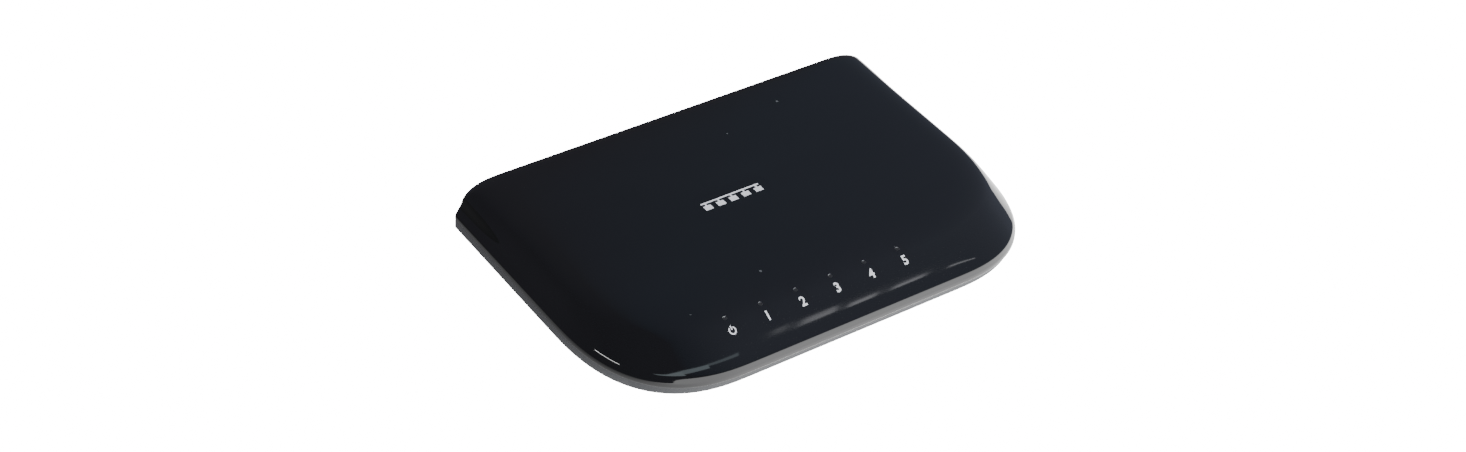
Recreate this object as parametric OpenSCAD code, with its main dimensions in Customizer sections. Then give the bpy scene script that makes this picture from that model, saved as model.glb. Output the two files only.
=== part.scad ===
// Desktop network switch: a five port unit in a rounded two-part case.
// The front is -Y, the sockets face +Y and +Z is up. The origin is on the table
// under the middle of the case. All sizes are millimetres.

/* [Case] */
// Width of the case over its rim
case_w = 165; // [160:1:172]
// Depth of the case from the front lip to the rear edge
case_d = 110; // [108:1:116]
// Height of the case with its feet
case_h = 28; // [28:0.5:32]
// Height of the parting line between cover and tray
parting_z = 15.5; // [15:0.5:16.5]
// Thickness of the moulded walls
wall_t = 2; // [1.6:0.1:2.4]
// How far the front corners run along the front
corner_x = 42; // [28:1:46]
// How far the front corners run along the sides
corner_y = 50; // [36:1:54]
// Squareness of the front corners, 2 is an ellipse
corner_n = 2.6; // [2:0.1:3.2]

/* [Indicators] */
// Spacing of the indicators
led_pitch = 13.3; // [12:0.1:14]
// Sideways place of the middle of the indicator row
led_x = -9; // [-10:0.5:0]
// Distance from the front lip to the indicator row
led_inset = 14.5; // [12:0.5:16]
// Bore of an indicator window
led_bore = 1.6; // [1.4:0.1:2.2]

/* [Sockets] */
// Number of network sockets
port_count = 5; // [5:1:5]
// Spacing of the network sockets
port_pitch = 18; // [17:0.5:19]
// Sideways place of the middle socket
port_x = 12; // [8:1:14]
// Sideways place of the power inlet
inlet_x = -56; // [-58:1:-54]

/* [Board] */
// Width of the circuit board
board_w = 124; // [120:1:126]
// Depth of the circuit board
board_d = 78; // [74:1:80]
// Thickness of the circuit board
board_t = 1.6; // [1.2:0.2:1.6]

/* [Fixings] */
// Height of a rubber foot
foot_h = 2; // [1.5:0.5:2.5]
// Diameter of a rubber foot
foot_dia = 10; // [8:1:11]
// Distance between the two wall-mount keyholes
keyhole_gap = 90; // [80:5:95]
// Width of the round end of a keyhole
keyhole_dia = 7.5; // [7:0.5:8]
// Width of the narrow end of a keyhole
keyhole_slot = 4; // [3.5:0.5:4]

/* [Hidden] */
$fn = 48;

// Small overlap that keeps joined solids of one piece together
bite = 0.2;
half_w = case_w / 2;
half_d = case_d / 2;
base_z = foot_h;
floor_z = base_z + wall_t;
seam = 0.4;                  // groove between cover and tray
strip_z = 11.7;              // lowest edge of the upright strip of the tray
corner_steps = 24;

board_z = 7;                 // underside of the board
board_top = board_z + board_t;
board_y1 = half_d - 2.5;     // rear edge of the board
board_y0 = board_y1 - board_d;

panel_y1 = half_d - 0.7;     // outside of the rear panel
panel_y0 = panel_y1 - 1.8;
panel_top = 25;
panel_w = case_w - 20;

jack_w = 15.8;
jack_h = 13.2;
jack_d = 20;
jack_y1 = half_d - 0.9;
jack_y0 = jack_y1 - jack_d;
socket_w = 11.9;
socket_h = 8.2;
socket_deep = 13;
latch_w = 6.2;
latch_h = 2.6;
socket_z0 = board_top + 3.9;  // floor of the plug space
contact_pitch = 1.02;
contact_wire = 0.36;

inlet_w = 9;
inlet_h = 11;
inlet_d = 14;
inlet_y1 = half_d - 0.9;
inlet_z = board_top + 6.5;    // axis of the inlet
inlet_bore = 6.3;
inlet_pin = 2;

chip = [20, 20, 1.6];
chip_pos = [8, 2];
lead_count = 16;
sink_h = 7;
magnetic = [15, 9, 5.6];

case_screw_pos = [[-67, 38], [67, 38], [-45, -31], [45, -31]];
board_screw_pos = [[-56, -18], [56, -18], [-56.5, 22], [56.5, 22]];
foot_pos = [[-46, -20], [46, -20], [-55, 42], [55, 42]];
keyhole_y = 24;

led_y = -half_d + led_inset;
led_tilt = 30;               // slope of the cover at the indicators
led_x0 = led_x - 2.5 * led_pitch;

// Rings of the cover, low to high: side inset, front inset, rear inset, height
cover_rings = [
    [0.1, 0.1, 0.1, parting_z],
    [0.0, 0.0, 0.0, parting_z + 0.3],
    [0.05, 0.0, 0.0, parting_z + 1.4],
    [0.3, 0.1, 0.0, parting_z + 1.9],
    [0.8, 0.2, 0.0, parting_z + 2.7],
    [1.3, 0.3, 0.0, parting_z + 3.5],
    [1.75, 1.0, 0.0, parting_z + 4.2],
    [2.4, 2.6, 0.0, parting_z + 5.3],
    [3.2, 5.0, 0.0, parting_z + 6.7],
    [4.05, 7.4, 0.0, parting_z + 8.1],
    [4.7, 9.3, 0.0, parting_z + 9.1],
    [5.3, 10.9, 0.0, parting_z + 9.9],
    [6.1, 12.9, 0.1, parting_z + 10.7],
    [6.9, 14.5, 0.1, parting_z + 11.2],
    [8.2, 17.0, 0.3, parting_z + 11.6],
    [10.4, 20.5, 0.6, parting_z + 11.95],
    [14.0, 26.0, 1.4, parting_z + 12.2],
    [24.0, 35.0, 8.0, parting_z + 12.4],
    [40.0, 46.0, 20.0, parting_z + 12.5]
];
// Rings of the space under the cover
cover_roof = parting_z + 10.2;
cover_hollow = [
    [2.2, 2.0, 2.0, parting_z],
    [4.0, 2.5, 2.0, parting_z + 3.4],
    [4.6, 5.2, 2.0, parting_z + 4.4],
    [5.8, 9.6, 2.0, parting_z + 6.2],
    [7.2, 13.8, 2.0, parting_z + 8.4],
    [8.6, 17.0, 2.0, parting_z + 9.6],
    [12.0, 22.0, 2.4, cover_roof]
];
// Rings of the tray, low to high, with the same four values
tray_rings = [
    [10.6, 15.8, 1.2, base_z],
    [9.6, 14.6, 0.7, base_z + 0.5],
    [6.9, 10.6, 0.7, base_z + 3],
    [4.2, 6.9, 0.7, base_z + 5.6],
    [1.6, 3.4, 0.7, base_z + 8.4],
    [0.5, 1.9, 0.7, strip_z],
    [0.3, 1.6, 0.7, strip_z + 0.6],
    [0.3, 1.6, 0.7, parting_z - seam]
];
tray_hollow = [
    [2.3, 3.6, 2.5, parting_z - seam],
    [2.5, 3.9, 2.5, strip_z + 0.4],
    [3.6, 5.6, 2.5, base_z + 8.6],
    [6.2, 9.0, 2.5, base_z + 6],
    [9.2, 13.2, 2.5, base_z + 2.8],
    [10.6, 15.0, 2.5, floor_z]
];

// One rounded front corner, from the side to the front
function corner(hw, yf, a, b) = [
    for (i = [0 : corner_steps])
        let (q = 90 * i / corner_steps)
        [hw - a * (1 - pow(cos(q), 2 / corner_n)),
         yf + b * (1 - pow(sin(q), 2 / corner_n))]
];

// Closed outline of the case at one height
function ring(r) =
    let (
        hw = half_w - r[0],
        yf = -half_d + r[1],
        yr = half_d - r[2],
        a = corner_x - 0.35 * r[0],
        b = corner_y - 0.6 * r[1],
        c = corner(hw, yf, a, b),
        n = len(c) - 1
    )
    concat(
        [[hw, yr, r[3]]],
        [for (p = c) [p[0], p[1], r[3]]],
        [for (i = [n : -1 : 0]) [-c[i][0], c[i][1], r[3]]],
        [[-hw, yr, r[3]]]
    );

// A closed solid through a stack of rings with the same number of points
module skin(rings) {
    n = len(rings[0]);
    m = len(rings);
    points = [for (r = rings) for (p = r) p];
    sides = [
        for (k = [0 : m - 2]) for (i = [0 : n - 1])
            let (a = k * n + i, b = k * n + (i + 1) % n)
            for (f = [[a, b, a + n], [b, b + n, a + n]]) f
    ];
    caps = [
        [for (i = [n - 1 : -1 : 0]) i],
        [for (i = [0 : n - 1]) (m - 1) * n + i]
    ];
    polyhedron(points = points, faces = concat(sides, caps), convexity = 6);
}

function port_place(i) = port_x + (i - 3) * port_pitch;
function led_place(i) = led_x0 + i * led_pitch;

// Height of the cover at an inset from the front lip
function cover_z(v) = lookup(v, [for (r = cover_rings) [r[1], r[3]]]);

module at_led(i, depth) {
    translate([led_place(i), led_y, cover_z(led_inset)])
        rotate([led_tilt, 0, 0])
            translate([0, 0, -depth])
                children();
}

module at_each(places, z) {
    for (p = places) translate([p[0], p[1], z]) children();
}

// ---- Case ----

module top_cover() {
    color([0.045, 0.05, 0.06])
    difference() {
        union() {
            difference() {
                skin([for (r = cover_rings) ring(r)]);
                translate([0, 0, -0.01]) skin([for (r = cover_hollow) ring(r)]);
            }
            // posts that take the case screws
            at_each(case_screw_pos, parting_z + 0.5)
                cylinder(d = 6.4, h = cover_roof - parting_z);
        }
        // opening for the rear panel
        translate([-panel_w / 2 - 0.3, half_d - 2.6, parting_z - 1])
            cube([panel_w + 0.6, 4, panel_top + 0.3 - parting_z + 1]);
        for (i = [0 : 5])
            at_led(i, 5) cylinder(d = led_bore, h = 8, $fn = 24);
        at_each(case_screw_pos, parting_z - 1)
            cylinder(d = 2.5, h = 8.5, $fn = 24);
    }
}

module keyhole() {
    translate([0, 0, base_z - 1]) cylinder(d = keyhole_dia, h = wall_t + 2);
    translate([-keyhole_slot / 2, 0, base_z - 1]) cube([keyhole_slot, 7, wall_t + 2]);
    translate([0, 7, base_z - 1]) cylinder(d = keyhole_slot, h = wall_t + 2);
}

module vent_row(x, y) {
    for (i = [0 : 8])
        translate([x + (i - 4) * 5 - 1, y - 8, base_z - 1]) cube([2, 16, wall_t + 2]);
}

module port_window(i) {
    translate([port_place(i) - jack_w / 2 - 0.2, panel_y0 - 1, board_top - 0.2])
        cube([jack_w + 0.4, 5, jack_h + 0.4]);
}

module rear_panel() {
    translate([-panel_w / 2, panel_y0, parting_z - 4])
        cube([panel_w, panel_y1 - panel_y0, panel_top - parting_z + 4]);
}

module bottom_shell() {
    color([0.11, 0.115, 0.125])
    difference() {
        union() {
            difference() {
                skin([for (r = tray_rings) ring(r)]);
                translate([0, 0, 0.01])
                    skin([for (i = [len(tray_hollow) - 1 : -1 : 0]) ring(tray_hollow[i])]);
            }
            rear_panel();
            at_each(board_screw_pos, floor_z - bite)
                cylinder(d = 6, h = board_z - floor_z + bite);
            at_each(case_screw_pos, floor_z - bite)
                cylinder(d = 7, h = parting_z + 0.3 - floor_z + bite);
        }
        at_each(board_screw_pos, floor_z + 0.4) cylinder(d = 2.2, h = 6, $fn = 24);
        at_each(case_screw_pos, base_z - 1) cylinder(d = 3.3, h = 20, $fn = 24);
        at_each(case_screw_pos, base_z - 1) cylinder(d = 6.2, h = 6);
        at_each(foot_pos, base_z - 1) cylinder(d = foot_dia + 0.4, h = 1.4);
        for (s = [-1, 1]) translate([s * keyhole_gap / 2, keyhole_y, 0]) keyhole();
        vent_row(-24, -24);
        vent_row(24, -24);
        for (i = [1 : port_count]) port_window(i);
        translate([inlet_x - inlet_w / 2 - 0.2, panel_y0 - 1, board_top - 0.2])
            cube([inlet_w + 0.4, 5, inlet_h + 0.4]);
    }
}

// A soft foot pressed into its recess in the tray
module foot(i) {
    color([0.06, 0.06, 0.065])
    translate([foot_pos[i][0], foot_pos[i][1], 0])
        rotate_extrude()
            polygon([[0, 0], [foot_dia / 2 - 0.6, 0], [foot_dia / 2 - 0.2, 0.4],
                     [foot_dia / 2, 1], [foot_dia / 2, base_z + 0.4], [0, base_z + 0.4]]);
}

module rating_label() {
    color([0.78, 0.79, 0.8])
    translate([-30, 12, base_z - 0.15]) cube([60, 26, 0.15]);
}

// ---- Board and what stands on it ----

module circuit_board() {
    color([0.06, 0.25, 0.14])
    difference() {
        translate([-board_w / 2, board_y0, board_z]) cube([board_w, board_d, board_t]);
        at_each(board_screw_pos, board_z - 1) cylinder(d = 3.2, h = board_t + 2, $fn = 24);
    }
}

module jack_housing(i) {
    x = port_place(i);
    color([0.09, 0.09, 0.1])
    difference() {
        translate([x - jack_w / 2, jack_y0, board_top]) cube([jack_w, jack_d, jack_h]);
        // plug space with its stepped latch slot below
        translate([x - socket_w / 2, jack_y1 - socket_deep, socket_z0])
            cube([socket_w, socket_deep + 1, socket_h]);
        translate([x - latch_w / 2, jack_y1 - socket_deep, socket_z0 - latch_h])
            cube([latch_w, socket_deep + 1, latch_h + 1]);
        translate([x - socket_w / 2 + 1, jack_y1 - 1.2, socket_z0 - 0.8])
            cube([socket_w - 2, 2.2, 1.8]);
    }
}

// Eight sprung wires that hang into the plug space from behind
module jack_contacts(i) {
    x0 = port_place(i) - 3.5 * contact_pitch;
    y0 = jack_y1 - socket_deep;
    z1 = socket_z0 + socket_h;
    color([0.83, 0.66, 0.27])
    for (k = [0 : 7])
        translate([x0 + k * contact_pitch - contact_wire / 2, 0, 0])
            rotate([90, 0, 90])
                linear_extrude(contact_wire)
                    polygon([
                        [y0, z1 - 2.3], [y0 + 7.5, z1 - 0.4], [y0 + 7.5, z1],
                        [y0 + 7.0, z1], [y0, z1 - 1.9]
                    ]);
}

module power_inlet_body() {
    color([0.08, 0.08, 0.085])
    difference() {
        union() {
            translate([inlet_x - inlet_w / 2, inlet_y1 - inlet_d, board_top])
                cube([inlet_w, inlet_d, inlet_h - 4.5]);
            translate([inlet_x, inlet_y1, inlet_z])
                rotate([90, 0, 0]) cylinder(d = inlet_w, h = inlet_d);
            translate([inlet_x - inlet_w / 2, inlet_y1 - 3, board_top])
                cube([inlet_w, 3, inlet_h]);
        }
        translate([inlet_x, inlet_y1 + 1, inlet_z])
            rotate([90, 0, 0]) cylinder(d = inlet_bore, h = 11);
    }
}

module power_inlet_pin() {
    color([0.8, 0.8, 0.78])
    translate([inlet_x, inlet_y1 - 10, inlet_z])
        rotate([-90, 0, 0]) {
            cylinder(d = inlet_pin, h = 8.4);
            translate([0, 0, 8.4]) cylinder(d1 = inlet_pin, d2 = 1, h = 0.8);
        }
}

module power_inlet_spring() {
    color([0.8, 0.68, 0.4])
    translate([inlet_x - 1, inlet_y1 - 10, inlet_z - inlet_bore / 2 + 0.12])
        cube([2, 7, 0.3]);
}

module switch_chip() {
    color([0.05, 0.05, 0.055])
    translate([chip_pos[0] - chip[0] / 2, chip_pos[1] - chip[1] / 2, board_top + 0.2])
        cube(chip);
}

// Gull-wing leads on the four sides of the chip
module switch_chip_leads() {
    color([0.75, 0.75, 0.76])
    for (s = [0 : 3])
        translate([chip_pos[0], chip_pos[1], 0])
            rotate([0, 0, 90 * s])
                for (k = [0 : lead_count - 1])
                    translate([(k - (lead_count - 1) / 2) * 1.15 - 0.2, chip[1] / 2, 0])
                        rotate([90, 0, 90])
                            linear_extrude(0.4)
                                polygon([
                                    [0, board_top + 0.8], [0.55, board_top + 0.8],
                                    [0.9, board_top + 0.2], [1.7, board_top + 0.2],
                                    [1.7, board_top], [0.75, board_top],
                                    [0.4, board_top + 0.6], [0, board_top + 0.6]
                                ]);
}

module heatsink() {
    z0 = board_top + 0.2 + chip[2];
    color([0.62, 0.64, 0.66])
    translate([chip_pos[0] - 10, chip_pos[1] - 10, z0]) {
        cube([20, 20, 1.8]);
        for (i = [0 : 6])
            translate([i * 3.1, 0, 1.8 - bite]) cube([1.3, 20, sink_h - 1.8 + bite]);
    }
}

module magnetics(i) {
    color([0.1, 0.1, 0.11])
    translate([port_place(i) - magnetic[0] / 2, jack_y0 - 3 - magnetic[1], board_top])
        cube(magnetic);
}

module memory_chip() {
    color([0.06, 0.06, 0.065]) translate([-18, -8, board_top]) cube([5, 4, 1.5]);
}

module crystal() {
    color([0.78, 0.78, 0.8])
    translate([-12, 5, board_top]) {
        translate([2.3, 2.3, 0]) cylinder(d = 4.6, h = 3.5);
        translate([2.3, 0, 0]) cube([6.6, 4.6, 3.5]);
        translate([8.9, 2.3, 0]) cylinder(d = 4.6, h = 3.5);
    }
}

module power_inductor() {
    color([0.2, 0.2, 0.21]) translate([-47, 8, board_top]) cube([7, 7, 4]);
}

module filter_inductor() {
    color([0.45, 0.25, 0.12])
    translate([-30, -4, board_top])
        difference() {
            cylinder(d = 9, h = 4.5);
            translate([0, 0, -1]) cylinder(d = 3.6, h = 7);
        }
}

module regulator() {
    color([0.06, 0.06, 0.065]) translate([-36, 8, board_top]) cube([6.5, 6, 2.2]);
}

module capacitor(i) {
    p = [[-46, 24], [-42, -6], [32, -6]][i - 1];
    color([0.12, 0.14, 0.3])
    translate([p[0], p[1], board_top]) {
        cylinder(d = 6.3, h = 7.4);
        translate([0, 0, 7.4]) cylinder(d1 = 6.3, d2 = 5.3, h = 0.6);
    }
}

// Chip resistors and capacitors, as a group of separate solids
module surface_parts() {
    color([0.55, 0.47, 0.38])
    for (i = [0 : 9]) {
        translate([-14 + i * 4.4, -14, board_top]) cube([1.6, 0.8, 0.6]);
        translate([24, -12 + i * 2.6, board_top]) cube([0.8, 1.6, 0.6]);
    }
}

// A small lamp on the board, under one pin of the light guide
module indicator(i) {
    color([0.85, 0.9, 0.8])
    translate([led_place(i) - 0.8, led_y + 18.2, board_top]) cube([1.6, 1, 0.8]);
}

// One clear moulding with a foot over each lamp and a pin in each window
module light_guide() {
    color([0.85, 0.88, 0.9, 0.6])
    union() {
        for (i = [0 : 5]) {
            translate([led_place(i) - 0.7, led_y + 17.6, board_top + 1])
                cube([1.4, 2, 11]);
            translate([led_place(i) - 0.7, led_y + 2.4, board_top + 12 - 1.6])
                cube([1.4, 17.2, 1.6]);
            at_led(i, 6.2) cylinder(d = led_bore - 0.2, h = 6, $fn = 24);
        }
        translate([led_place(0) - 0.7, led_y + 10, board_top + 12 - 1.6])
            cube([5 * led_pitch + 1.4, 1.6, 1.6]);
    }
}

// ---- Fixings ----

// Pan head screw standing on its head, with a cross recess
module screw(head_d, head_h, shank_d, length) {
    difference() {
        union() {
            cylinder(d = head_d, h = head_h);
            cylinder(d = shank_d, h = head_h + length, $fn = 24);
        }
        for (a = [0, 90])
            rotate([0, 0, a])
                translate([-head_d * 0.3, -0.3, -0.1]) cube([head_d * 0.6, 0.6, 1.1]);
    }
}

module board_screws() {
    color([0.7, 0.7, 0.72])
    for (p = board_screw_pos)
        translate([p[0], p[1], board_top + 1.8])
            mirror([0, 0, 1]) screw(5, 1.8, 2.2, 5.4);
}

module case_screws() {
    color([0.3, 0.3, 0.32])
    for (p = case_screw_pos)
        translate([p[0], p[1], base_z + 3.2]) screw(5.4, 1.8, 2.5, 17);
}

top_cover();
bottom_shell();
circuit_board();
light_guide();
jack_housing(1);  // jack_housing_1
jack_housing(2);  // jack_housing_2
jack_housing(3);  // jack_housing_3
jack_housing(4);  // jack_housing_4
jack_housing(5);  // jack_housing_5
jack_contacts(1);  // jack_contacts_1
jack_contacts(2);  // jack_contacts_2
jack_contacts(3);  // jack_contacts_3
jack_contacts(4);  // jack_contacts_4
jack_contacts(5);  // jack_contacts_5
magnetics(1);  // magnetics_1
magnetics(2);  // magnetics_2
magnetics(3);  // magnetics_3
magnetics(4);  // magnetics_4
magnetics(5);  // magnetics_5
power_inlet_body();
power_inlet_pin();
power_inlet_spring();
switch_chip();
switch_chip_leads();
heatsink();
memory_chip();
crystal();
power_inductor();
filter_inductor();
regulator();
capacitor(1);  // capacitor_1
capacitor(2);  // capacitor_2
capacitor(3);  // capacitor_3
surface_parts();
indicator(0);  // indicator_power
indicator(1);  // indicator_1
indicator(2);  // indicator_2
indicator(3);  // indicator_3
indicator(4);  // indicator_4
indicator(5);  // indicator_5
board_screws();
case_screws();
foot(0);  // foot_front_left
foot(1);  // foot_front_right
foot(2);  // foot_rear_left
foot(3);  // foot_rear_right
rating_label();
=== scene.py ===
# %% [markdown]
# # A desktop network switch in gloss black
#
# This lesson dresses the CAD model of a small five socket network switch. The CAD
# parts stay as the frame. The two parts that are seen most, the gloss cover and the
# matt tray, get finer pieces of their own, and every other part keeps its CAD shape
# and gets a finish made from nodes.
#
# The frame is loaded first.

# %% Load the frame
import math

import bmesh
import bpy
from mathutils import Matrix, Vector
from mathutils.bvhtree import BVHTree


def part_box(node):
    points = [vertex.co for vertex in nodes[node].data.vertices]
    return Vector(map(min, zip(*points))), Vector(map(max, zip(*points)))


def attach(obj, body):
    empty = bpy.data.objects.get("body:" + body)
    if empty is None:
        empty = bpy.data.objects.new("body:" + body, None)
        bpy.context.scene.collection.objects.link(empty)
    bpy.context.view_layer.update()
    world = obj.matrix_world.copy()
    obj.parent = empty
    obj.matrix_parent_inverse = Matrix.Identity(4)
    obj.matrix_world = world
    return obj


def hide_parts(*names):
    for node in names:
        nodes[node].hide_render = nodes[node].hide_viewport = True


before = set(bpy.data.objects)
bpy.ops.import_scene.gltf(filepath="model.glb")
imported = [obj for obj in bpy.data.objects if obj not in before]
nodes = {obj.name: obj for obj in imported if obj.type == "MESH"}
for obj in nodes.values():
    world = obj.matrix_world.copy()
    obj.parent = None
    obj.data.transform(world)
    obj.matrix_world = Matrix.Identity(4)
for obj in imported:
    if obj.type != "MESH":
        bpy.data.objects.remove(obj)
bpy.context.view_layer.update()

MM = 0.001

# %% [markdown]
# ## Camera
#
# The camera stands in front of the left front corner and looks down at about 38
# degrees, rolled by five degrees. It could be aimed with a Track To constraint, but
# that can't roll it, so the three axes of the camera are written down as the columns
# of its matrix.

# %% Place the camera
camera_place = Vector((-400.9, -504.7, 532.7)) * MM
camera_right = Vector((0.820812, -0.567343, 0.066254))
camera_up = Vector((0.313827, 0.544842, 0.777599))
lens = bpy.data.cameras.new("camera")
lens.sensor_width = 36
lens.lens = 62.42
lens.clip_start = 0.02
camera = bpy.data.objects.new("camera", lens)
turned = Matrix((camera_right, camera_up, camera_right.cross(camera_up))).transposed()
camera.matrix_world = Matrix.Translation(camera_place) @ turned.to_4x4()
bpy.context.collection.objects.link(camera)
bpy.context.scene.camera = camera
print("camera height in mm:", round(camera_place.z / MM))

# %% [markdown]
# ## Helpers for pieces
#
# A mesh that was shaped in a bmesh becomes an object at the origin. Edges sharper
# than 30 degrees stay crisp, and everything else is shaded smooth.

# %% Make an object from a bmesh
def finish_piece(shape, name, material, replaced=(), crisp=30):
    """Turn a bmesh into a piece that rides on the case."""
    mesh = bpy.data.meshes.new(name)
    shape.to_mesh(mesh)
    shape.free()
    mesh.shade_smooth()
    mesh.set_sharp_from_angle(angle=math.radians(crisp))
    piece = bpy.data.objects.new(name, mesh)
    bpy.context.collection.objects.link(piece)
    mesh.materials.append(material)
    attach(piece, "root")
    if replaced:
        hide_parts(*replaced)
    return piece


# %% [markdown]
# ## Helpers for finishes
#
# Node trees are easier to read as sums. A small class wraps one output of a node and
# overloads the operators, so that `1 - mask` or `grain * 0.2` adds the Math node that
# does it. All other nodes come from one method of the finish itself.

# %% Wrap an output so that it can be used in sums
class Wire:
    """One output of a node, which can be added, multiplied and so on."""

    def __init__(self, finish, output):
        self.finish = finish
        self.output = output

    def math(self, operation, first, second):
        return self.finish.node("ShaderNodeMath", {"operation": operation}, {0: first, 1: second})

    def __add__(self, other):
        return self.math("ADD", self, other)

    def __radd__(self, other):
        return self.math("ADD", other, self)

    def __sub__(self, other):
        return self.math("SUBTRACT", self, other)

    def __rsub__(self, other):
        return self.math("SUBTRACT", other, self)

    def __mul__(self, other):
        return self.math("MULTIPLY", self, other)

    def __rmul__(self, other):
        return self.math("MULTIPLY", other, self)

    def __gt__(self, other):
        return self.math("GREATER_THAN", self, other)

    def __lt__(self, other):
        return self.math("LESS_THAN", self, other)


# %% A finish is a material whose nodes are made one call at a time
class Finish:
    """A node material, with its shader and a method that adds any node."""

    def __init__(self, name, **constants):
        self.material = bpy.data.materials.new(name)
        self.material.use_nodes = True
        self.tree = self.material.node_tree
        self.shader = self.tree.nodes["Principled BSDF"]
        for socket, value in constants.items():
            self.shader.inputs[socket.replace("_", " ")].default_value = value
        self.place = self.node("ShaderNodeTexCoord", {}, {}, "Object")

    def put(self, socket, value):
        if isinstance(value, Wire):
            self.tree.links.new(value.output, socket)
        else:
            socket.default_value = value

    def node(self, kind, settings, values, output=0):
        made = self.tree.nodes.new(kind)
        for name, value in settings.items():
            setattr(made, name, value)
        for name, value in values.items():
            self.put(made.inputs[name], value)
        return Wire(self, made.outputs[output])

    def noise(self, scale, detail=3.0, roughness=0.5):
        return self.node("ShaderNodeTexNoise", {},
                         {"Vector": self.place, "Scale": scale, "Detail": detail,
                          "Roughness": roughness})

    def stretched_noise(self, stretch, scale, detail=3.0):
        along = self.node("ShaderNodeMapping", {}, {"Vector": self.place, "Scale": stretch})
        return self.node("ShaderNodeTexNoise", {},
                         {"Vector": along, "Scale": scale, "Detail": detail})

    def mix(self, mask, first, second):
        return self.node("ShaderNodeMix", {"data_type": "RGBA"},
                         {"Factor": mask, 6: first, 7: second}, 2)

    def bump(self, height, distance, strength=1.0):
        return self.node("ShaderNodeBump", {},
                         {"Height": height, "Distance": distance, "Strength": strength})

    def set(self, **links):
        for socket, value in links.items():
            self.put(self.shader.inputs[socket.replace("_", " ")], value)
        return self


def rgba(red, green, blue):
    return (red, green, blue, 1.0)


# %% [markdown]
# ## Gloss black for the cover
#
# The cover is moulded in a polished tool: deep black, a mirror finish with a very
# slight waviness, faint smears from hands and a few specks of dust. The smears only
# change the roughness, and the specks are the peaks of a cell pattern.

# %% Gloss black
gloss = Finish("gloss_black", IOR=1.5)
smears = gloss.stretched_noise((1, 3, 1), 28, 4)
waves = gloss.noise(45, 1)
cells = gloss.node("ShaderNodeTexVoronoi", {"feature": "F1"},
                   {"Vector": gloss.place, "Scale": 95}, "Distance")
sparse = gloss.noise(60, 0)
specks = (cells < 0.045) * (sparse > 0.63)
tint = gloss.mix(smears, rgba(0.0022, 0.0025, 0.0032), rgba(0.0034, 0.0037, 0.0046))
gloss.set(Base_Color=gloss.mix(specks * 0.6, tint, rgba(0.16, 0.17, 0.18)),
          Roughness=smears * 0.05 + 0.02 + specks * 0.4,
          Normal=gloss.bump(waves, 0.00002, 0.25))
print("gloss black:", len(gloss.tree.nodes), "nodes")

# %% [markdown]
# ## Plastics, metals and rubber
#
# The other plastics are spark eroded: a fine even grain that spreads the highlight.
# One recipe serves them all, with its own colour, shine and grain for each. The
# metals share a second recipe, in which a stretched noise gives the direction of
# rolling or brushing.

# %% Recipe for a grained plastic
def grained_plastic(name, dark, light, shine, grain, depth, **constants):
    """A moulded plastic with an even grain of the given size and depth in metres."""
    finish = Finish(name, **constants)
    fine = finish.noise(1 / grain, 3)
    broad = finish.noise(40, 2)
    finish.set(Base_Color=finish.mix(fine * 0.6 + broad * 0.4, rgba(*dark), rgba(*light)),
               Roughness=shine + fine * 0.12 + broad * 0.06,
               Normal=finish.bump(fine, depth, 0.7))
    return finish


# %% Recipe for a rolled or brushed metal
def worked_metal(name, dark, light, shine, stretch=(1, 8, 1), **constants):
    """A metal with fine lines along one axis and a little tarnish."""
    finish = Finish(name, Metallic=1.0, **constants)
    lines = finish.stretched_noise(stretch, 900, 3)
    tarnish = finish.noise(130, 2)
    finish.set(Base_Color=finish.mix(tarnish, rgba(*dark), rgba(*light)),
               Roughness=shine + lines * 0.15 + tarnish * 0.08,
               Normal=finish.bump(lines, 0.00001, 0.5))
    return finish


# %% The finishes of this switch
tray_black = grained_plastic("tray_black", (0.045, 0.047, 0.052), (0.062, 0.065, 0.071),
                             0.36, 0.00035, 0.00001, Specular_IOR_Level=0.4)
jack_black = grained_plastic("jack_black", (0.010, 0.010, 0.011), (0.018, 0.018, 0.02),
                             0.30, 0.0003, 0.00001)
part_black = grained_plastic("part_black", (0.012, 0.012, 0.013), (0.022, 0.022, 0.023),
                             0.42, 0.00012, 0.000008)
ceramic = grained_plastic("ceramic", (0.30, 0.22, 0.13), (0.42, 0.33, 0.22),
                          0.45, 0.0002, 0.000005)
sleeve = grained_plastic("sleeve", (0.010, 0.014, 0.055), (0.016, 0.022, 0.075),
                         0.25, 0.0008, 0.000005)
rubber = grained_plastic("rubber", (0.012, 0.012, 0.013), (0.022, 0.022, 0.023),
                         0.68, 0.0002, 0.00002)
clear = grained_plastic("clear", (0.62, 0.66, 0.68), (0.70, 0.74, 0.76),
                        0.12, 0.0009, 0.000004, Transmission_Weight=0.8, IOR=1.49)
lamp = grained_plastic("lamp", (0.62, 0.66, 0.50), (0.78, 0.80, 0.62),
                       0.18, 0.0003, 0.000004, Subsurface_Weight=0.2)
gold = worked_metal("gold", (0.72, 0.50, 0.18), (0.86, 0.63, 0.27), 0.18)
tin = worked_metal("tin", (0.55, 0.55, 0.54), (0.70, 0.70, 0.69), 0.22)
sink_metal = worked_metal("sink_metal", (0.46, 0.48, 0.50), (0.60, 0.62, 0.64),
                          0.28, (8, 1, 1))
screw_metal = worked_metal("screw_metal", (0.07, 0.07, 0.075), (0.12, 0.12, 0.125),
                           0.30, (8, 8, 1))
print("finishes:", len(bpy.data.materials))
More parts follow.
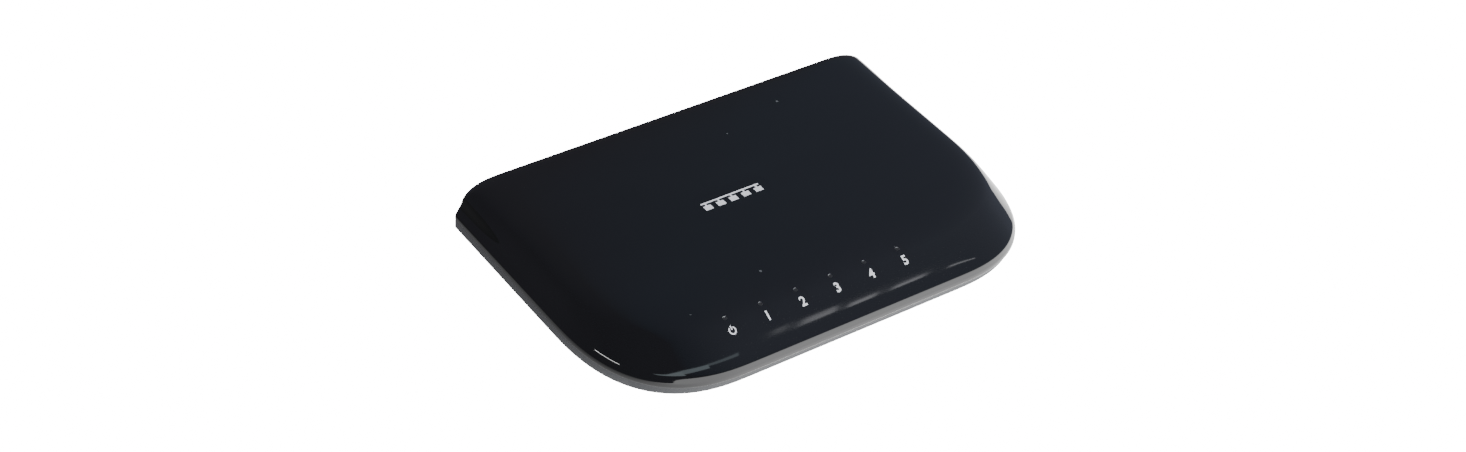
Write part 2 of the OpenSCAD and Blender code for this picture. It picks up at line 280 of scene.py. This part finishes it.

# %% [markdown]
# ## Board, winding, label and ink
#
# The board is green solder mask over copper, so the tracks show as lighter lines. A
# brick pattern with wide mortar draws them. The winding is a wave of round wires, with
# painted shade in the troughs between the wires.
# The label is matt film, and the ink is a flat silver white with a fine screen grain.

# %% Green board with tracks
board = Finish("board_green", IOR=1.5)
tracks = board.node("ShaderNodeTexBrick", {"offset": 0.4, "squash": 0.7},
                    {"Vector": board.place, "Scale": 160, "Mortar Size": 0.035}, "Fac")
tone = board.noise(220, 3)
mask_green = board.mix(tone, rgba(0.006, 0.052, 0.022), rgba(0.010, 0.075, 0.034))
board.set(Base_Color=board.mix(tracks * 0.7, mask_green, rgba(0.03, 0.16, 0.06)),
          Roughness=tone * 0.15 + 0.25, Normal=board.bump(tracks, 0.00003, 0.8))

# %% Wound copper wire, with painted shade between the wires
winding = Finish("winding", Metallic=0.7)
turns_and_groove_shade = winding.node("ShaderNodeTexWave", {"wave_type": "BANDS", "bands_direction": "Z"},
                     {"Vector": winding.place, "Scale": 700, "Distortion": 1.5})
# The colour runs from dark copper in the troughs between the wires to bright copper on their tops:
# the dark troughs are painted shade between the round wires.
winding.set(Base_Color=winding.mix(turns_and_groove_shade, rgba(0.16, 0.05, 0.015), rgba(0.62, 0.27, 0.11)),
            Roughness=0.42 - turns_and_groove_shade * 0.15, Normal=winding.bump(turns_and_groove_shade, 0.00012))

# %% Label film and silver white ink
label_film = grained_plastic("label_film", (0.50, 0.51, 0.52), (0.60, 0.61, 0.62),
                             0.42, 0.00025, 0.000004)
ink = grained_plastic("ink", (0.82, 0.83, 0.85), (0.92, 0.93, 0.95), 0.38, 0.00018, 0.000004)
print("board, winding, label and ink are ready")

# %% [markdown]
# ## The gloss cover
#
# The cover is a shallow dish turned over: an upright lip, a tight turn at its top, a
# long slope at the front that ends in a soft crown, and steeper sides. On a lathe it
# would be a profile, but its plan has two big front corners and a straight rear. So it
# is lofted: the outline at the lip is drawn as a loop of edges, and each next section
# is an extrusion of the last loop that is moved to its own inset and height.
# A Subdivision Surface then takes the facets out.

# %% Sizes of the cover, from the CAD node
cover_low, cover_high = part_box("top_cover")
half_width = cover_high.x / MM
front_y = cover_low.y / MM
rear_y = cover_high.y / MM
parting = cover_low.z / MM
opening_x = 72.8  # half the width of the opening for the sockets
opening_z = 25.3  # its top
corner_along_front = 42
corner_along_side = 50
corner_squareness = 2.6
print("cover in mm:", round(2 * half_width, 1), "by", round(rear_y - front_y, 1),
      "from height", round(parting, 1))

# %% Sections of the cover: side, front and rear inset, and height over the parting line
cover_sections = [
    (0.10, 0.10, 0.10, 0.00), (0.00, 0.00, 0.00, 0.20), (0.05, 0.00, 0.00, 1.45),
    (0.30, 0.08, 0.00, 1.90), (0.80, 0.16, 0.00, 2.70), (1.25, 0.26, 0.00, 3.45),
    (1.42, 0.36, 0.00, 3.70), (1.75, 1.00, 0.00, 4.20), (2.40, 2.60, 0.00, 5.30),
    (3.20, 5.00, 0.00, 6.70), (4.05, 7.40, 0.00, 8.10), (4.70, 9.30, 0.00, 9.10),
    (5.20, 10.6, 0.00, 9.80), (5.70, 11.9, 0.00, 10.35), (6.20, 13.1, 0.05, 10.80),
    (6.90, 14.7, 0.10, 11.2), (8.20, 17.0, 0.30, 11.6), (10.4, 20.5, 0.60, 11.95),
    (14.0, 26.0, 1.40, 12.2), (24.0, 35.0, 8.00, 12.38), (40.0, 46.0, 20.0, 12.47),
]


# %% The outline at one section
def smooth_step(t):
    t = min(max(t, 0), 1)
    return t * t * (3 - 2 * t)


def outline(section):
    """Points of the case's plan at one section, from the rear right round to the rear left."""
    side, front, rear, height = section
    x1, y0, y1 = half_width - side, front_y + front, rear_y - rear
    a, b = corner_along_front - 0.35 * side, corner_along_side - 0.6 * front
    turn_in = 1.6 + 6.5 * (height / 12.5) ** 5
    flare = 0.9 * math.sin(math.pi * min(max((height - 4.9) / 7, 0), 1))
    edge = min(opening_x, x1 - turn_in - 1.2)
    right = [(edge, y1)]
    for step in range(6):
        turn = math.radians(90 * step / 5)
        right.append((x1 - turn_in * (1 - math.sin(turn)), y1 - turn_in * (1 - math.cos(turn))))
    right += [(x1, y1 - turn_in + (y0 + b - y1 + turn_in) * step / 6) for step in range(1, 6)]
    right = [(x + flare * smooth_step((y - y1 + 26) / 22) * (x > edge), y) for x, y in right]
    for step in range(25):
        turn = math.radians(90 * step / 24)
        right.append((x1 - a * (1 - math.cos(turn) ** (2 / corner_squareness)),
                      y0 + b * (1 - math.sin(turn) ** (2 / corner_squareness))))
    front_run = [((x1 - a) * (1 - step / 4), y0) for step in range(1, 8)]
    left = [(-x, y) for x, y in reversed(right)]
    rear_run = [(edge * (step / 5 - 1), y1) for step in range(1, 10)]
    plan = right + front_run + left + rear_run
    return [Vector((x, y, parting + height)) * MM for x, y in plan]


# %% Loft a shell through sections by extruding the outline
def loft(sections):
    """A closed band of faces through the sections, open at both ends."""
    shape = bmesh.new()
    loop = [shape.verts.new(point) for point in outline(sections[0])]
    edges = [shape.edges.new((loop[i - 1], loop[i])) for i in range(len(loop))]
    for section in sections[1:]:
        before = {v: i for i, v in enumerate(loop)}
        grown = bmesh.ops.extrude_edge_only(shape, edges=edges)["geom"]
        new = [g for g in grown if isinstance(g, bmesh.types.BMVert)]
        loop = [None] * len(new)
        for vert in new:
            old = next(e.other_vert(vert) for e in vert.link_edges if e.other_vert(vert) in before)
            loop[before[old]] = vert
        for vert, point in zip(loop, outline(section)):
            vert.co = point
        edges = [g for g in grown if isinstance(g, bmesh.types.BMEdge)]
    return shape, loop


# %% Shape the cover and cut its opening for the sockets
shape, top_loop = loft(cover_sections)
bmesh.ops.contextual_create(shape, geom=top_loop)
bmesh.ops.recalc_face_normals(shape, faces=shape.faces)
for face in shape.faces:
    if face.calc_center_median().z > 27.9 * MM and face.normal.z < 0:
        bmesh.ops.reverse_faces(shape, faces=shape.faces)
        break
opening = [face for face in shape.faces
           if face.calc_center_median().y > (rear_y - 0.3) * MM
           and abs(face.calc_center_median().x) < opening_x * MM
           and face.calc_center_median().z < (opening_z - 0.3) * MM]
bmesh.ops.delete(shape, geom=opening, context="FACES")
crease = shape.edges.layers.float.new("crease_edge")
for edge in shape.edges:
    if edge.is_boundary:
        edge[crease] = 1.0
print("cover control faces:", len(shape.faces), "cut out:", len(opening))

# %% Finish the cover
cover = finish_piece(shape, "cover_skin", gloss.material, ["top_cover"], 60)
smooth = cover.modifiers.new("smooth", "SUBSURF")
smooth.levels = smooth.render_levels = 2
wall = cover.modifiers.new("wall", "SOLIDIFY")
wall.thickness = 1.8 * MM
wall.offset = -1
bpy.context.view_layer.update()
print("cover size in mm:", [round(v / MM, 2) for v in cover.dimensions])

# %% [markdown]
# ## The tray and the other moulded parts
#
# The tray's CAD shape is right, with its keyholes, vents, screw holes and feet, but
# its edges are perfectly sharp. A moulded edge has a radius that catches the light. A
# copy of the CAD mesh is merged into one skin, flat facets are joined, and the sharp
# edges are bevelled.

# %% Copy a CAD node with softened edges
def softened(name, node, material, width, segments=2):
    """A merged copy of a CAD node whose sharp edges have a small radius."""
    shape = bmesh.new()
    shape.from_mesh(nodes[node].data)
    bmesh.ops.remove_doubles(shape, verts=shape.verts, dist=0.000004)
    bmesh.ops.dissolve_limit(shape, angle_limit=math.radians(0.5),
                             verts=shape.verts, edges=shape.edges)
    sharp = [edge for edge in shape.edges
             if edge.is_manifold and edge.calc_face_angle(0) > math.radians(32)]
    bmesh.ops.bevel(shape, geom=sharp, offset=width, offset_type="OFFSET", affect="EDGES",
                    segments=segments, profile=0.5, material=-1, clamp_overlap=True)
    return finish_piece(shape, name, material, [node])


# %% Tray, sockets, inlet and feet
tray = softened("tray", "bottom_shell", tray_black.material, 0.00015, 1)
print("tray faces:", len(tray.data.polygons))
for number in range(1, 6):
    jack = softened(f"socket_{number}", f"jack_housing_{number}",
                    jack_black.material, 0.00035)
print("socket faces:", len(jack.data.polygons))
softened("power_socket", "power_inlet_body", jack_black.material, 0.0003)
for corner in ("front_left", "front_right", "rear_left", "rear_right"):
    softened(f"soft_{corner}", f"foot_{corner}", rubber.material, 0.0003)
softened("fixings", "case_screws", screw_metal.material, 0.0001)

# %% [markdown]
# ## Things printed and set on the cover
#
# Numbers, the power sign and the small mark are printed. Each is a flat mesh that is
# laid on the cover: every point is dropped straight down on to it. The cover's own
# surface is asked for the height, so nothing floats or sinks.

# %% Find the height of the cover at a place
view = bpy.context.evaluated_depsgraph_get()
ground = BVHTree.FromObject(cover, view)


def on_cover(x, y):
    """Point and normal of the cover above a place, in metres."""
    hit, normal, _, _ = ground.ray_cast(Vector((x, y, 0.1)), Vector((0, 0, -1)))
    return hit, normal if normal.z > 0 else -normal


led_pitch = 13.3
led_middle = -9
led_inset = 14.5
led_line = [(led_middle + (i - 2.5) * led_pitch, front_y + led_inset) for i in range(6)]
for x, y in (led_line[0], led_line[5]):
    hit, normal = on_cover(x * MM, y * MM)
    print("window at", [round(v / MM, 1) for v in hit],
          "slope", round(math.degrees(normal.angle((0, 0, 1)))))


# %% Lay a flat mesh on the cover
def printed(shape, name, x, y, lift=0.02):
    """Move a flat bmesh, drawn in millimetres round the origin, to its place on the cover."""
    bmesh.ops.triangulate(shape, faces=shape.faces)
    long_edges = [edge for edge in shape.edges if edge.calc_length() > 0.5]
    bmesh.ops.subdivide_edges(shape, edges=long_edges, cuts=1)
    bmesh.ops.scale(shape, vec=(MM, MM, MM), verts=shape.verts)
    bmesh.ops.translate(shape, vec=(x * MM, y * MM, 0), verts=shape.verts)
    for vert in shape.verts:
        vert.co.z = on_cover(vert.co.x, vert.co.y)[0].z + lift * MM
    bmesh.ops.recalc_face_normals(shape, faces=shape.faces)
    if sum(face.normal.z for face in shape.faces) < 0:
        bmesh.ops.reverse_faces(shape, faces=shape.faces)
    return finish_piece(shape, name, ink.material)


# %% Numbers under the windows
def digit_shape(text, size):
    """A number as a flat bmesh, centred on the origin, in millimetres."""
    curve = bpy.data.curves.new("digit", "FONT")
    curve.body = text
    curve.size = size
    curve.align_x, curve.align_y = "CENTER", "CENTER"
    curve.offset = 0.12
    curve.resolution_u = 6
    writer = bpy.data.objects.new("digit", curve)
    bpy.context.collection.objects.link(writer)
    bpy.context.view_layer.update()
    written = writer.evaluated_get(bpy.context.evaluated_depsgraph_get())
    mesh = bpy.data.meshes.new_from_object(written)
    shape = bmesh.new()
    shape.from_mesh(mesh)
    bpy.data.objects.remove(writer)
    return shape


label_drop = 4.4
digit_size = 4.1
for number in range(1, 6):
    x, y = led_line[number]
    printed(digit_shape(str(number), digit_size), f"number_{number}", x, y - label_drop)
print("numbers printed")

# %% The power sign: an open ring and a bar
half_gap = math.radians(32)
shape = bmesh.new()
arc_start = [shape.verts.new((0.62 * math.sin(half_gap) * k, 0.62 * math.cos(half_gap) * k, 0))
             for k in (1.35, 2.1)]
arc_edge = shape.edges.new(arc_start)
bmesh.ops.spin(shape, geom=arc_start + [arc_edge], cent=(0, 0, 0), axis=(0, 0, -1),
               dvec=(0, 0, 0), angle=math.radians(296), steps=22,
               use_merge=False, use_duplicate=False)
bmesh.ops.create_grid(shape, x_segments=1, y_segments=3, size=0.5,
                      matrix=Matrix.Translation((0, 0.85, 0)) @ Matrix.Diagonal((0.44, 1.35, 1, 1)))
x, y = led_line[0]
power_sign = printed(shape, "power_sign", x, y - label_drop)
print("power sign faces:", len(power_sign.data.polygons))

# %% A plain mark in the middle: five squares on a line
square_step = 4.9
shape = bmesh.new()
for place in range(5):
    bmesh.ops.create_grid(shape, x_segments=1, y_segments=1, size=0.5,
                          matrix=Matrix.Translation(((place - 2) * square_step, -0.6, 0))
                          @ Matrix.Diagonal((2.9, 2.2, 1, 1)))
    bmesh.ops.create_grid(shape, x_segments=1, y_segments=1, size=0.5,
                          matrix=Matrix.Translation(((place - 2) * square_step, 0.95, 0))
                          @ Matrix.Diagonal((0.6, 0.9, 1, 1)))
bmesh.ops.create_grid(shape, x_segments=12, y_segments=1, size=0.5,
                      matrix=Matrix.Translation((0, 1.75, 0)) @ Matrix.Diagonal((22.5, 0.7, 1, 1)))
mark = printed(shape, "plain_mark", -7.3, 6.0)
print("mark faces:", len(mark.data.polygons))

# %% [markdown]
# ## Indicator windows
#
# Each indicator shines through a small clear window in the slope. The window is a
# disc with a pale rim and a dark dished middle. It is a circle whose face is inset
# twice, and it is turned to the slope of the cover.

# %% Set the six windows
rim_grey = grained_plastic("rim_grey", (0.42, 0.425, 0.43), (0.54, 0.545, 0.55),
                           0.2, 0.0003, 0.000004)
for index, (x, y) in enumerate(led_line):
    hit, normal = on_cover(x * MM, y * MM)
    shape = bmesh.new()
    bmesh.ops.create_circle(shape, cap_ends=True, radius=0.82 * MM, segments=32)
    bmesh.ops.inset_region(shape, faces=shape.faces, thickness=0.06 * MM, depth=0.05 * MM)
    inner = [f for f in shape.faces if len(f.verts) > 4]
    bmesh.ops.inset_region(shape, faces=inner, thickness=0.2 * MM, depth=0)
    inner = [f for f in shape.faces if len(f.verts) > 4]
    bmesh.ops.inset_region(shape, faces=inner, thickness=0.12 * MM, depth=-0.04 * MM)
    for face in shape.faces:
        face.material_index = 1 if len(face.verts) > 4 else 0
    turn = Vector((0, 0, 1)).rotation_difference(normal).to_matrix().to_4x4()
    bmesh.ops.transform(shape, matrix=Matrix.Translation(hit) @ turn, verts=shape.verts)
    window = finish_piece(shape, f"window_{index}", rim_grey.material)
    window.data.materials.append(part_black.material)
print("windows set:", len(led_line))

# %% [markdown]
# ## Finishes for the parts that keep their CAD shape
#
# Everything inside the case keeps its CAD mesh. Its slots only change material.

# %% Give each carried-over node its finish
def paint(material, *names):
    for name in names:
        for slot in nodes[name].material_slots:
            slot.material = material


numbered = range(1, 6)
paint(board.material, "circuit_board")
paint(clear.material, "light_guide")
paint(gold.material, "power_inlet_spring", *[f"jack_contacts_{n}" for n in numbered])
paint(tin.material, "power_inlet_pin", "switch_chip_leads", "crystal", "board_screws")
paint(sink_metal.material, "heatsink")
paint(part_black.material, "switch_chip", "memory_chip", "regulator", "power_inductor",
      *[f"magnetics_{n}" for n in numbered])
paint(winding.material, "filter_inductor")
paint(sleeve.material, "capacitor_1", "capacitor_2", "capacitor_3")
paint(ceramic.material, "surface_parts")
paint(lamp.material, "indicator_power", *[f"indicator_{n}" for n in numbered])
paint(label_film.material, "rating_label")
shown = [n for n in nodes.values() if not n.hide_render]
print("nodes that keep their CAD shape:", len(shown))

# %% [markdown]
# ## Floor
#
# A plain white table, lit from below. Its shader glows a little and feeds what the
# gloss parts reflect: pale to the right and the front, dim to the left, and darkest at
# the far left, so that the left side of the cover stays black. A Light Path node mixes
# in a strong glow for the camera alone, so the table looks evenly white.

# %% Floor
shape = bmesh.new()
bmesh.ops.create_grid(shape, x_segments=1, y_segments=1, size=4)
floor_mesh = bpy.data.meshes.new("floor")
shape.to_mesh(floor_mesh)
shape.free()
floor = bpy.data.objects.new("floor", floor_mesh)
bpy.context.collection.objects.link(floor)

# %% Glow of the floor in reflections, and its even white for the camera
table = Finish("table", Specular_IOR_Level=0.0, Roughness=0.9, Emission_Strength=3.9)
apart = table.node("ShaderNodeSeparateXYZ", {}, {0: table.place}, "X")
across = Wire(table, apart.output.node.outputs["Y"])
slant = apart * 0.8 - across
reach = table.node("ShaderNodeMapRange", {"interpolation_type": "SMOOTHSTEP"},
                   {"Value": slant, "From Min": -0.09, "From Max": 0.08})
near = table.node("ShaderNodeMapRange", {"interpolation_type": "SMOOTHSTEP"},
                  {"Value": slant, "From Min": -0.19, "From Max": -0.15})
dim_glow = table.mix(near, rgba(0.03, 0.03, 0.03), rgba(0.09, 0.09, 0.09))
table.set(Base_Color=table.mix(near, rgba(0.05, 0.05, 0.05), rgba(0.20, 0.20, 0.20)),
          Emission_Color=table.mix(reach, dim_glow, rgba(1, 1, 1)))
bright = table.node("ShaderNodeEmission", {}, {"Color": rgba(1, 1, 1), "Strength": 22})
seen = table.node("ShaderNodeLightPath", {}, {}, "Is Camera Ray")
both = table.node("ShaderNodeMixShader", {},
                  {0: seen * 0.9, 1: Wire(table, table.shader.outputs[0]), 2: bright})
table.tree.links.new(both.output, table.tree.nodes["Material Output"].inputs["Surface"])
floor_mesh.materials.append(table.material)
print("floor laid")

# %% [markdown]
# ## Light
#
# Gloss black shows what is round it more than its own colour. The crown mirrors the
# air behind it, which stays dark, with a little more light overhead. The main light
# stands in front to the right and a weaker one behind. Both are hidden from
# reflections, so they light the matt parts only. A small lamp by the left side draws
# the short bright line at the left corner, and a row of strips overhead draws the
# broken line in the front slope.

# %% Surroundings
world = bpy.data.worlds.new("studio")
bpy.context.scene.world = world
world.use_nodes = True
sky = world.node_tree
place = sky.nodes.new("ShaderNodeTexCoord")
lean = sky.nodes.new("ShaderNodeVectorMath")
lean.operation = "DOT_PRODUCT"
lean.inputs[1].default_value = (0.6, -0.15, 0.4)
shade = sky.nodes.new("ShaderNodeValToRGB")
shade.color_ramp.elements.new(0.6)
shade.color_ramp.elements.new(0.75)
for element, (position, colour) in zip(shade.color_ramp.elements,
                                       [(0.38, (0.21, 0.205, 0.245, 1)),
                                        (0.44, (0.235, 0.27, 0.355, 1)),
                                        (0.51, (0.29, 0.32, 0.42, 1)),
                                        (0.66, (0.43, 0.47, 0.60, 1))]):
    element.position = position
    element.color = colour
sky.links.new(place.outputs["Generated"], lean.inputs[0])
sky.links.new(lean.outputs["Value"], shade.inputs[0])
sky.links.new(shade.outputs[0], sky.nodes["Background"].inputs["Color"])
sky.nodes["Background"].inputs["Strength"].default_value = 1.0


# %% A lamp that looks at the switch
def soft_light(name, place, width, height, brightness):
    """An area light aimed at the middle of the case, with its brightness per square metre."""
    data = bpy.data.lights.new(name, "AREA")
    data.shape = "RECTANGLE"
    data.size, data.size_y = width, height
    data.energy = brightness * math.pi * width * height
    lamp_object = bpy.data.objects.new(name, data)
    aim = (Vector((0, 0, 0.02)) - Vector(place)).to_track_quat("-Z", "Y").to_matrix().to_4x4()
    lamp_object.matrix_world = Matrix.Translation(place) @ aim
    bpy.context.collection.objects.link(lamp_object)
    return lamp_object


main = soft_light("main", (0.9, -1.0, 1.6), 1.2, 1.2, 10)
main.visible_glossy = False
back = soft_light("back", (0.4, 1.7, 1.3), 1.0, 0.6, 3)
back.visible_glossy = False
edge_line = soft_light("edge_line", (-0.284, 0.0065, 0.089), 0.085, 0.0166, 30)
edge_line.visible_camera = False
print("lamps:", [lamp_object.name for lamp_object in (main, back, edge_line)])

# %% Strips overhead: from x, to x, y, depth and glow
strip_height = 1.2
teal_strips = 3
teal, white = (0.8, 0.95, 1.0), (0.97, 0.97, 1.0)
strips = [(-0.90, -0.20, -0.56, 0.15, 2.5), (-0.20, 0.20, -0.52, 0.085, 2.1),
          (0.20, 0.54, -0.49, 0.042, 1.2), (0.644, 0.658, -0.448, 0.014, 2.0),
          (0.674, 0.712, -0.456, 0.018, 3.2), (0.726, 0.757, -0.464, 0.018, 3.6),
          (0.776, 0.812, -0.467, 0.018, 3.6), (0.85, 1.08, -0.480, 0.018, 3.2)]
for index, (start, end, strip_y, depth, glow) in enumerate(strips):
    data = bpy.data.lights.new(f"strip_{index}", "AREA")
    data.shape = "RECTANGLE"
    data.size, data.size_y = end - start, depth
    data.energy = glow * math.pi * (end - start) * depth
    data.color = teal if index < teal_strips else white
    strip = bpy.data.objects.new(f"strip_{index}", data)
    strip.matrix_world = Matrix.Translation(((start + end) / 2, strip_y, strip_height))
    bpy.context.collection.objects.link(strip)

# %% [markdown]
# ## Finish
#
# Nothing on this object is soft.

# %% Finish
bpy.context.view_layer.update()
